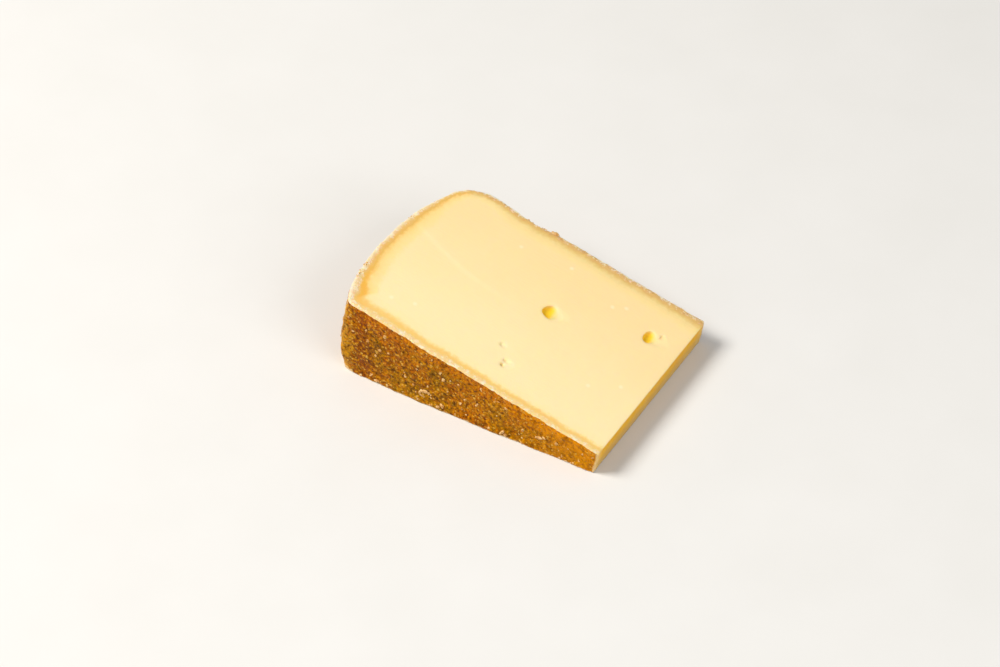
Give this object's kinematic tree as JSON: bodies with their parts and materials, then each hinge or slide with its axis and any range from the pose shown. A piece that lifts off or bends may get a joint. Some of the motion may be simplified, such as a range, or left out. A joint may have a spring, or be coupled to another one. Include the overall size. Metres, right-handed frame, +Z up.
{
  "type": "cheese wedge",
  "caption": "Thin wedge of semi-hard washed-rind cheese lying on a cut face, with a blunt tip, a bulged rind rim and small round eyes in the paste.",
  "frame": {"origin": "centre of the bounding box's underside, on the cut face that the wedge rests on", "axes": "+X from the rind rim to the blunt tip, +Y from one flat rind to the other with the sharper rim edge at -Y, +Z up from the resting cut face"},
  "size_m": [0.111, 0.078, 0.0348],
  "materials": {
    "cheese": "satin"
  },
  "bodies": {
    "root": {"cheese_wedge": "cheese"}
  },
  "joints": []
}
